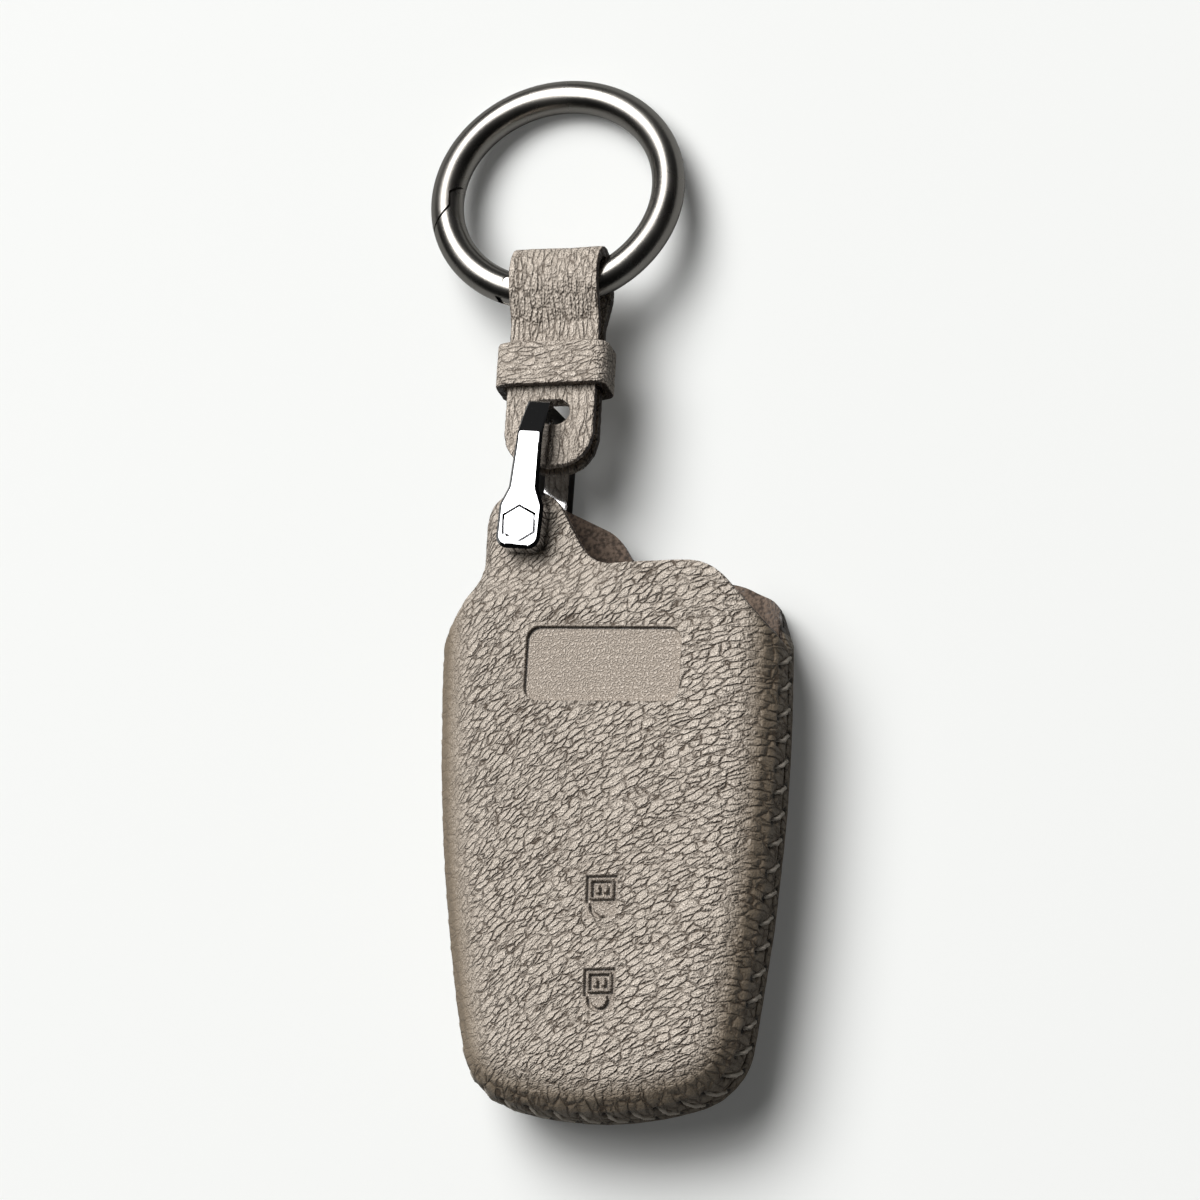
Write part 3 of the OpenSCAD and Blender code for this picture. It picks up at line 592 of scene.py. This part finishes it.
def pebbles(tree, guide, long, wide, seed):
    """Creases, pebbles and the creases' lines for painted shade, each from 0 at the bottom to 1, on a guide
    in millimetres.
    """
    for scale, reach in SWAYS:
        sway = add(tree, NOISE, {"Vector": guide, "Scale": scale, "Detail": 1.0}).outputs["Color"]
        centred = add(tree, VECTOR, {0: sway, 1: (0.5, 0.5, 0.5)}, operation="SUBTRACT")
        shift = add(tree, VECTOR, {0: centred, "Scale": reach}, operation="SCALE")
        guide = add(tree, VECTOR, {0: guide, 1: shift}, operation="ADD")
    places = []
    for along, across, share, more in (LARGE, SMALL, DEEP):
        size, start = (along / long, across / wide, 1.0), (seed, share * seed + more, seed)
        places.append(add(tree, "ShaderNodeMapping", {"Vector": guide, "Scale": size, "Location": start}))
    large, small = [
        add(tree, CELLS, {"Vector": place, "Scale": 1.0, "Randomness": 0.85}, feature="DISTANCE_TO_EDGE")
        for place in places[:2]
    ]
    deep = add(tree, NOISE, {"Vector": places[2], "Scale": 1.0})
    deep = add(tree, MAP, dict(enumerate((deep, *DEEP_SHARE))), interpolation_type="SMOOTHSTEP")
    grooves = []
    for width in (CREASE, CREASE_SHADE_LINE):
        groove = add(tree, MAP, {0: large, 2: width, 3: 1.0, 4: 0.0}, interpolation_type="SMOOTHSTEP")
        groove = add(tree, MATH, {0: deep, 1: groove}, operation="MULTIPLY")
        grooves.append(add(tree, MATH, {0: 1.0, 1: groove}, operation="SUBTRACT"))
    dome = 0.0
    for cells, width, share in zip((small, large), *DOMES):
        bulge = add(tree, MAP, {0: cells, 2: width, 4: share}, interpolation_type="SMOOTHSTEP")
        dome = add(tree, MATH, {0: bulge, 1: dome}, operation="ADD")
    return grooves[0], dome, grooves[1]


def tumbled_leather(tree):
    """Full-grain leather, drum-tumbled and dyed.

    The eye sees pebbles between creases with painted shade in them, a speckle of hair cells with painted
    glints and painted shade in its pits, and calm leather where it is pulled over an edge or pressed smooth.
    """
    f = settings("finishes")
    grain, grain_band = [
        add(tree, "ShaderNodeAttribute", attribute_name=name).outputs["Vector"]
        for name in ("grain", "grain_band")
    ]
    band, calm, smooth, dark, cut = [
        add(tree, "ShaderNodeAttribute", attribute_name=name).outputs["Fac"]
        for name in ("band", "calm", "smooth", "dark", "cut")
    ]
    long, wide = f.grain_length / MM, f.grain_width / MM
    open_leather = pebbles(tree, grain, long, wide, 0.0)
    edge_leather = pebbles(tree, grain_band, EDGE_GRAIN * long, EDGE_GRAIN * wide, EDGE_SEED)
    levels = []
    for middle, edge in zip(open_leather, edge_leather):
        calmed = add(tree, MIX, {0: calm, 2: edge, 3: CALM_LEVEL})
        joined = add(tree, MIX, {0: band, 2: middle, 3: calmed})
        levels.append(add(tree, MIX, {0: smooth, 2: joined, 3: CALM_LEVEL}))
    crease, dome, line = levels
    pores = add(tree, NOISE, {"Vector": grain, "Scale": PORES, "Detail": 0.0})
    pores = add(tree, MAP, {0: pores, 1: 0.25, 2: 0.75}, interpolation_type="SMOOTHSTEP")
    stretched = add(tree, MATH, {0: band, 1: 0.75}, operation="MULTIPLY")
    speckle = add(tree, MIX, {0: stretched, 2: pores, 3: 0.5})

    # Height from 0 in a crease to 1 on a pebble: round pebbles, long creases and the hair cells' speckle
    height = 0.0
    for level, share in ((dome, 0.25), (crease, 0.5), (speckle, 0.25)):
        height = add(tree, MATH, {0: level, 1: share, 2: height}, operation="MULTIPLY_ADD")
    patches = add(tree, NOISE, {"Vector": grain, "Scale": PATCHES, "Detail": 2.0})

    # Layers of colour: what each follows, from where to where, its strength at both, and its colour
    body = rgba(f.leather)
    for value, start, end, first, last, curve, shade in (
        # Browner tight leather over the edges, darkened further as painted shade there
        (band, 0.0, 1.0, 0.0, 1.0, "LINEAR", rgba(f.band)),
        (patches, 0.0, 1.0, 0.0, 0.2, "LINEAR", rgba(f.band)),
        (smooth, 0.0, 1.0, 0.0, 1.0, "LINEAR", rgba(f.pressed)),
        # Painted glints on the hair cells' speckle
        (speckle, 0.5, 1.0, 0.0, 0.6, "SMOOTHSTEP", rgba(f.leather, 1.15)),
        # Painted shade in the hair cells' pits
        (speckle, 0.0, 0.5, 0.2, 0.0, "SMOOTHSTEP", rgba(f.crease)),
        # Painted shade in the hollows between pebbles
        (dome, 0.0, 0.7, 0.12, 0.0, "SMOOTHSTEP", rgba(f.crease)),
        # Painted shade along the creases' lines
        (line, 0.0, 1.0, 0.88, 0.0, "SMOOTHSTEP", rgba(f.crease)),
        # Painted shade on the pressed walls, the seam's roll and the stitch holes
        (dark, 0.0, 1.0, 0.0, 1.0, "LINEAR", rgba(f.crease, 0.12)),
        (cut, 0.0, 1.0, 0.0, 1.0, "LINEAR", rgba(f.cut)),
    ):
        share = add(tree, MAP, {0: value, 1: start, 2: end, 3: first, 4: last}, interpolation_type=curve)
        body = add(tree, MIX, {0: share, 6: body, 7: shade}, data_type="RGBA")
    rough = add(tree, MAP, {0: height, 3: 0.7, 4: 0.36})
    bump = add(tree, BUMP, {"Strength": 1.0, "Distance": f.grain_depth, "Height": height})
    return add(tree, SHADER, {"Base Color": body, "Roughness": rough, "Normal": bump})


def split_suede(tree):
    """Split suede with a short nap: dull, uneven and soft at the edges."""
    suede = settings("finishes").suede
    place = add(tree, "ShaderNodeTexCoord").outputs["Object"]
    nap = add(tree, NOISE, {"Vector": place, "Scale": NAP, "Detail": 3.0})
    brushed = add(tree, NOISE, {"Vector": place, "Scale": BRUSHED_NAP, "Detail": 2.0})
    share = add(tree, MAP, {0: nap, 1: 0.35, 2: 0.65}, interpolation_type="SMOOTHSTEP")
    shade = add(tree, MIX, {0: share, 6: rgba(suede, 0.5), 7: rgba(suede, 1.9)}, data_type="RGBA")
    share = add(tree, MATH, {0: brushed, 1: 0.3}, operation="MULTIPLY")
    shade = add(tree, MIX, {0: share, 6: shade, 7: rgba(suede)}, data_type="RGBA")
    bump = add(tree, BUMP, {"Strength": 0.9, "Distance": 0.3 * MM, "Height": nap})
    sheen = {"Sheen Weight": 0.35, "Sheen Roughness": 0.5}
    return add(tree, SHADER, {"Base Color": shade, "Roughness": 0.95, "Normal": bump, **sheen})


def waxed_thread(tree):
    """Waxed polyester thread: two plies, and a slight shine from the wax."""
    thread = settings("finishes").thread
    place = add(tree, "ShaderNodeTexCoord").outputs["Object"]
    fibre = add(tree, NOISE, {"Vector": place, "Scale": FIBRE, "Detail": 2.0})
    shade = add(tree, MIX, {0: fibre, 6: rgba(thread, 0.7), 7: rgba(thread, 1.25)}, data_type="RGBA")
    bump = add(tree, BUMP, {"Strength": 0.5, "Distance": 0.05 * MM, "Height": fibre})
    return add(tree, SHADER, {"Base Color": shade, "Roughness": 0.5, "Normal": bump})


def plated_metal(tree, finish, roughness, brushing, fineness):
    """Plated metal: its brushing gives the eye fine streaks, or leaves it a mirror where it is low."""
    base = getattr(settings("finishes"), finish)
    place = add(tree, "ShaderNodeTexCoord").outputs["Object"]
    streak = add(tree, NOISE, {"Vector": place, "Scale": fineness, "Detail": 3.0})
    smudge = add(tree, NOISE, {"Vector": place, "Scale": SMUDGES, "Detail": 2.0})
    shade = add(tree, MIX, {0: streak, 6: rgba(base, 0.93), 7: rgba(base, 1.05)}, data_type="RGBA")
    rough = add(tree, MAP, {0: smudge, 1: 0.3, 2: 0.7, 3: roughness * 0.85, 4: roughness * 1.15})
    bump = add(tree, BUMP, {"Strength": 0.4, "Distance": brushing, "Height": streak})
    return add(tree, SHADER, {"Base Color": shade, "Metallic": 1.0, "Roughness": rough, "Normal": bump})


def metal(name):
    """The plated metal of that name."""
    return material(name, plated_metal, *METALS[name])


def white_board(tree, white):
    """Matt white board: it shows almost white under the object's shadow, and throws little light back."""
    path = add(tree, "ShaderNodeLightPath").outputs
    rays = {0: path["Is Camera Ray"], 1: path["Is Transmission Ray"]}
    seen = add(tree, MATH, rays, operation="MAXIMUM")
    board = add(tree, "ShaderNodeBsdfDiffuse", {"Color": rgba(white, 0.86)})
    lift = add(tree, "ShaderNodeEmission", {"Color": rgba(white), "Strength": 0.08})
    shown = add(tree, "ShaderNodeAddShader", {0: board, 1: lift})
    bounced = add(tree, "ShaderNodeBsdfDiffuse", {"Color": rgba(white, 0.3)})
    return add(tree, "ShaderNodeMixShader", {0: seen, 1: bounced, 2: shown})


# Strap, thread and rigid pieces

CUT_EDGE = (0.55, 0.85)  # Slope to the side between which a strap's skin becomes its cut edge
CUT_LEVEL = 0.3  # How smooth a strap's leather is pressed, from 0 to 1
LAYER = 40 * MM  # How far apart the strap's two layers lie in the grain's pattern
STRETCH, SKEW = 0.75, 0.18  # Of the strap's grain along it, and of the keeper's grain across it
FLAT = math.radians(0.6)  # Metal faces that lie flatter than this to each other are joined
SHARP = math.radians(28)  # Metal edges sharper than this are broken
SHADED, SUEDE_SHADED = math.radians(35), math.radians(40)  # Edges sharper than this stay sharp to the eye
RINGS = 12  # Rings along one stitch
STITCH_END = 1.12  # Where a stitch's ends lie along it, a little short of its holes
STAND_OUT = 0.22  # How much of the thread stands above the leather before it is pulled tight
FRONT_DIP, REAR_DIP = 3, 7  # The lower, the longer the slope into the hole
TWIST = math.radians(32)  # Turn of the two plies from ring to ring
PLIES = (1.12, 0.8, 1, 1)  # Width and thickness of two plies side by side
THREAD_SIDES = 10
OUTWARDS = 0.3  # Of the seam's sides, along the body: a rough outward way that keeps the plies from flipping


def joint(name):
    """The record's joint of that name."""
    return next(j for j in frame["record"]["behaviour"]["joints"] if j["name"] == name)


def soft_piece(node, voxel, creases_along):
    """A cut leather piece: softened CAD shape whose creases run along it or round it."""
    mesh = new_piece(node + "_leather", remeshed(merged_copy(node), voxel), node, "leather", node).data
    points, facing = coordinates(mesh), normals(mesh)
    lengthwise = Vector(joint("keeper_slide")["axis"]).normalized()
    up = np.array(Vector((1, 0, 0)).cross(lengthwise))
    lengthwise = np.array(lengthwise)
    place = points - np.mean(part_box(node), axis=0)
    x, along, height = place[:, 0], place @ lengthwise, place @ up
    layer = np.where(height > 0, 0, LAYER)
    if creases_along:
        edge = np.abs(facing[:, 0])
        guide = (STRETCH * along + layer, x, height * 0.3)
    else:
        edge = np.abs(facing @ lengthwise)
        guide = (x + SKEW * along + layer, along - SKEW * x, height * 0.8)
    guide = np.stack(guide, axis=1) / MM
    set_coordinates(mesh, points + facing * undulation(points, STRAP_WAVES)[:, None])
    zero = np.zeros(len(points))
    edge = smooth_step(edge, *CUT_EDGE)
    set_attributes(mesh, grain=guide, grain_band=guide, band=zero, calm=zero, dark=zero)
    set_attributes(mesh, smooth=zero + CUT_LEVEL, cut=edge)
    mesh.materials.append(material("Tumbled leather", tumbled_leather))


def polished_piece(node, width, wanted=None):
    """A polished CAD shape with its sharp edges, or only the wanted ones, broken by a bevel."""
    bm = merged_copy(node)
    bmesh.ops.dissolve_limit(bm, angle_limit=FLAT, verts=bm.verts, edges=bm.edges)
    corners = [e for e in bm.edges if e.is_manifold and e.calc_face_angle(0) > SHARP]
    if wanted:
        corners = [e for e in corners if wanted((e.verts[0].co + e.verts[1].co) / 2)]
    bmesh.ops.bevel(
        bm,
        geom=corners,
        offset=width,
        segments=1 if wanted else 2,
        profile=0.5,
        affect="EDGES",
        material=-1,
        clamp_overlap=not wanted,
    )
    piece = new_piece(node + "_finished", bm, "shackle", "polished_metal", node)
    piece.data.set_sharp_from_angle(angle=SHADED)
    flats = piece.modifiers.new("Flats", "WEIGHTED_NORMAL")
    flats.keep_sharp = True
    piece.data.materials.append(metal("Polished black nickel"))
    return piece


def stitch_frames(plan, place, side):
    """Where each ring of one stitch lies: it dips into its hole, crosses the seam and dips again."""
    st = settings("stitches")
    out = np.array([side, 1, 0]) * (*plan.at(place)[1], 0)
    path = []
    for k in range(RINGS + 1):
        u = STITCH_END * (2 * k / RINGS - 1)
        lift = STAND_OUT * st.thread - st.press - st.sink * abs(u) ** (FRONT_DIP if u < 0 else REAR_DIP)
        path.append(Vector(stitch_point(plan, place, side, u) + out * lift))
    frames = []
    for k, point in enumerate(path):
        ahead = (path[min(k + 1, RINGS)] - path[max(k - 1, 0)]).normalized()
        across = ahead.cross(Vector((side, OUTWARDS, 0))).normalized()
        basis = Matrix((across, ahead.cross(across), ahead)).transposed().to_4x4()
        turn = Matrix.Rotation(k * TWIST, 4, "Z") @ Matrix.Diagonal(PLIES)
        frames.append(Matrix.Translation(point) @ basis @ turn)
    return frames


def add_thread(bm, frames, radius):
    """One length of two-ply thread, drawn out ring by ring."""
    ring = bmesh.ops.create_circle(
        bm, cap_ends=True, segments=THREAD_SIDES, radius=radius, matrix=frames[0]
    )
    face = ring["verts"][0].link_faces[0]
    for before, after in zip(frames, frames[1:]):
        made = bmesh.ops.extrude_face_region(bm, geom=[face])["geom"]
        if before is not frames[0]:
            bmesh.ops.delete(bm, geom=[face], context="FACES_ONLY")
        face = next(g for g in made if isinstance(g, bmesh.types.BMFace))
        bmesh.ops.transform(bm, matrix=after @ before.inverted(), verts=face.verts)


# Operators: one for each piece or group of like pieces, and one for the stage


class PieceOperator:
    bl_options = {"REGISTER", "UNDO"}


class FOB_OT_panels(PieceOperator, bpy.types.Operator):
    """Makes the two moulded leather panels"""

    bl_idname = "fob_cover.panels"
    bl_label = "Leather panels"

    def execute(self, context):
        plan = Plan()
        panel(plan, "front_panel", True)
        panel(plan, "rear_panel", False)
        return {"FINISHED"}


class FOB_OT_linings(PieceOperator, bpy.types.Operator):
    """Makes the two suede linings"""

    bl_idname = "fob_cover.linings"
    bl_label = "Suede linings"

    def execute(self, context):
        for node in ("front_lining", "rear_lining"):
            bm = merged_copy(node)
            piece = new_piece(node + "_suede", bm, "cover", "suede", node)
            piece.data.set_sharp_from_angle(angle=SUEDE_SHADED)
            piece.data.materials.append(material("Split suede", split_suede))
        return {"FINISHED"}


class FOB_OT_thread(PieceOperator, bpy.types.Operator):
    """Makes the whip stitches round the seam"""

    bl_idname = "fob_cover.thread"
    bl_label = "Whip stitches"

    def execute(self, context):
        plan = Plan()
        bm = bmesh.new()
        for side in (1, -1):
            for place in stitch_places(plan):
                add_thread(bm, stitch_frames(plan, place, side), settings("stitches").thread / 2)
        bmesh.ops.recalc_face_normals(bm, faces=bm.faces)
        piece = new_piece("seam_thread_waxed", bm, "cover", "thread", "seam_thread")
        piece.data.materials.append(material("Waxed thread", waxed_thread))
        return {"FINISHED"}


class FOB_OT_shackle(PieceOperator, bpy.types.Operator):
    """Makes the polished shackle, its post and its screw"""

    bl_idname = "fob_cover.shackle"
    bl_label = "Shackle"

    HUB = 2.75 * MM  # Radius round the post's hole inside which the edges stay sharp
    FACE = 2.9 * MM  # Depth of the shackle's faces, whose edges are broken
    HEAD = (0.96, 0.96, 1)  # The post's head is a little smaller than its hole, so that a line shows round it

    def execute(self, context):
        post = Vector(joint("shackle_swing")["pos_m"])
        low, high = (corner[2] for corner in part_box("shackle"))

        def outer(place):
            """True for an edge on the outside of a leg, away from the post's hole."""
            return (place - post).xy.length > self.HUB and min(place.z - low, high - place.z) < self.FACE

        polished_piece("shackle", width=0.45 * MM, wanted=outer)
        mesh = polished_piece("shackle_post", width=0.06 * MM).data
        axis = np.array(post)
        set_coordinates(mesh, axis + (coordinates(mesh) - axis) * self.HEAD)
        polished_piece("shackle_screw", width=0.08 * MM)
        return {"FINISHED"}


class FOB_OT_strap(PieceOperator, bpy.types.Operator):
    """Makes the folded strap and its keeper"""

    bl_idname = "fob_cover.strap"
    bl_label = "Strap and keeper"

    def execute(self, context):
        soft_piece("strap", voxel=0.2 * MM, creases_along=True)
        soft_piece("keeper", voxel=0.17 * MM, creases_along=False)
        return {"FINISHED"}


class FOB_OT_ring(PieceOperator, bpy.types.Operator):
    """Makes the spring-gate ring"""

    bl_idname = "fob_cover.ring"
    bl_label = "Spring-gate ring"

    def execute(self, context):
        for finish, nodes in (
            ("Satin gunmetal", ("ring_body", "ring_gate", "gate_pin")),
            ("Drawn spring steel", ("gate_plunger", "gate_spring")),
        ):
            for node in nodes:
                slots = frame["nodes"][node].data.materials
                slots.clear()
                slots.append(metal(finish))
        return {"FINISHED"}


class FOB_OT_stage(PieceOperator, bpy.types.Operator):
    """Makes the floor, the lamps and the camera"""

    bl_idname = "fob_cover.stage"
    bl_label = "Stage"

    # The photograph's viewpoint, in metres: turned towards +X, tilted towards -Y and rolled a little
    TURN = math.radians(14)
    TILT = math.radians(13.5)
    ROLL = math.radians(1.5)
    TARGET = Vector((-2.918, 34.173, 10.0)) * MM
    DISTANCE = 1.0
    VIEW_WIDTH = 160.64 * MM
    SENSOR = 36.0
    FAR = 10.0
    FLOOR_SIZE = 3.0
    FLOOR_GAP = 0.02 * MM
    # Ways to the lamps, the key's spread, and the softbox's size and offset from the mirrored view
    KEY_WAY = Vector((-0.3, 0.52, 0.8))
    KEY_SPREAD = math.radians(40)
    BOX_OFFSET = Vector((-0.1, 0.07, 0.0))
    BOX_SIZE = 1.5
    LAMP_DISTANCE = 2.15
    WORLD_GREY = 0.05
    # Where the world brightens overhead and towards the top of the object, and its strength there
    OVERHEAD = (0.75, 1.0, 0.25, 1.6)
    BEYOND = (0.55, 0.95, 0.0, 1.6)

    def execute(self, context):
        scene = context.scene
        roll = Matrix.Rotation(self.ROLL, 3, "Z")
        a, b = self.TURN, self.TILT
        right = roll @ Vector((math.cos(a), 0, -math.sin(a)))
        up = roll @ Vector((math.sin(a) * math.sin(b), math.cos(b), math.cos(a) * math.sin(b)))
        back = roll @ Vector((math.sin(a) * math.cos(b), -math.sin(b), math.cos(a) * math.cos(b)))
        lens = bpy.data.cameras.new("Camera")
        lens.sensor_width = self.SENSOR
        lens.lens = self.SENSOR * self.DISTANCE / self.VIEW_WIDTH
        lens.clip_end = self.FAR
        camera = bpy.data.objects.new("Camera", lens)
        basis = Matrix((right, up, back)).transposed().to_4x4()
        camera.matrix_world = Matrix.Translation(self.TARGET + back * self.DISTANCE) @ basis
        scene.collection.objects.link(camera)
        scene.camera = camera
        self.make_floor(scene)
        self.make_lamps(scene, back)
        self.make_world(scene)
        scene.view_settings.view_transform = "Standard"
        return {"FINISHED"}

    def make_floor(self, scene):
        bm = bmesh.new()
        bmesh.ops.create_grid(bm, x_segments=1, y_segments=1, size=self.FLOOR_SIZE)
        bmesh.ops.translate(bm, verts=bm.verts, vec=(0, 0, -self.FLOOR_GAP))
        mesh = bpy.data.meshes.new("Floor")
        bm.to_mesh(mesh)
        bm.free()
        floor = bpy.data.objects.new("Floor", mesh)
        scene.collection.objects.link(floor)
        mesh.materials.append(material("Matt white board", white_board, settings("finishes").floor))

    def make_lamps(self, scene, back):
        """A slanting key for the relief, and a softbox that the front's flat metal mirrors."""
        f = settings("finishes")
        key = bpy.data.lights.new("Key", "SUN")
        key.energy = f.key
        key.angle = self.KEY_SPREAD
        softbox = bpy.data.lights.new("Softbox", "AREA")
        softbox.shape = "SQUARE"
        softbox.size = self.BOX_SIZE
        softbox.energy = f.box
        mirrored = Vector((-back.x, -back.y, back.z))
        for lamp, way in ((key, self.KEY_WAY), (softbox, mirrored + self.BOX_OFFSET)):
            way = way.normalized()
            holder = bpy.data.objects.new(lamp.name, lamp)
            holder.location = self.TARGET + way * self.LAMP_DISTANCE
            holder.rotation_euler = way.to_track_quat("Z", "Y").to_euler()
            scene.collection.objects.link(holder)

    def make_world(self, scene):
        """A dim grey room with a brighter ceiling and far wall."""
        world = bpy.data.worlds.new("Studio")
        world.use_nodes = True
        tree = world.node_tree
        tree.nodes.clear()
        place = add(tree, "ShaderNodeTexCoord").outputs["Generated"]
        split = add(tree, "ShaderNodeSeparateXYZ", {0: place}).outputs
        shade = 0.0
        for way, limits in (("Z", self.OVERHEAD), ("Y", self.BEYOND)):
            sockets = dict(enumerate((split[way], *limits)))
            glow = add(tree, MAP, sockets, interpolation_type="SMOOTHSTEP")
            shade = add(tree, MATH, {0: glow, 1: shade}, operation="ADD")
        strength = add(tree, MATH, {0: shade, 1: settings("finishes").fill}, operation="MULTIPLY")
        grey = rgba([self.WORLD_GREY] * 3)
        background = add(tree, "ShaderNodeBackground", {"Color": grey, "Strength": strength})
        add(tree, "ShaderNodeOutputWorld", {"Surface": background})
        scene.world = world


class FOB_PT_sidebar(bpy.types.Panel):
    """Lists the pieces"""

    bl_label = "Key fob cover"
    bl_idname = "FOB_PT_sidebar"
    bl_space_type = "VIEW_3D"
    bl_region_type = "UI"
    bl_category = "Key fob cover"

    def draw(self, context):
        for operator in OPERATORS:
            self.layout.operator(operator.bl_idname)


OPERATORS = (
    FOB_OT_stage,
    FOB_OT_panels,
    FOB_OT_linings,
    FOB_OT_thread,
    FOB_OT_shackle,
    FOB_OT_strap,
    FOB_OT_ring,
)
GROUPS = {"sizes": CoverSizes, "marks": MarkSizes, "stitches": StitchSizes, "finishes": Finishes}


def register():
    for cls in (*GROUPS.values(), *OPERATORS, FOB_PT_sidebar):
        bpy.utils.register_class(cls)
    for kind, group in GROUPS.items():
        setattr(bpy.types.Scene, "fob_cover_" + kind, bpy.props.PointerProperty(type=group))


def unregister():
    for kind in GROUPS:
        delattr(bpy.types.Scene, "fob_cover_" + kind)
    for cls in reversed((*GROUPS.values(), *OPERATORS, FOB_PT_sidebar)):
        bpy.utils.unregister_class(cls)


def main():
    """Makes every piece."""
    register()
    for operator in OPERATORS:
        group, name = operator.bl_idname.split(".")
        getattr(getattr(bpy.ops, group), name)()


if __name__ == "__main__":
    main()
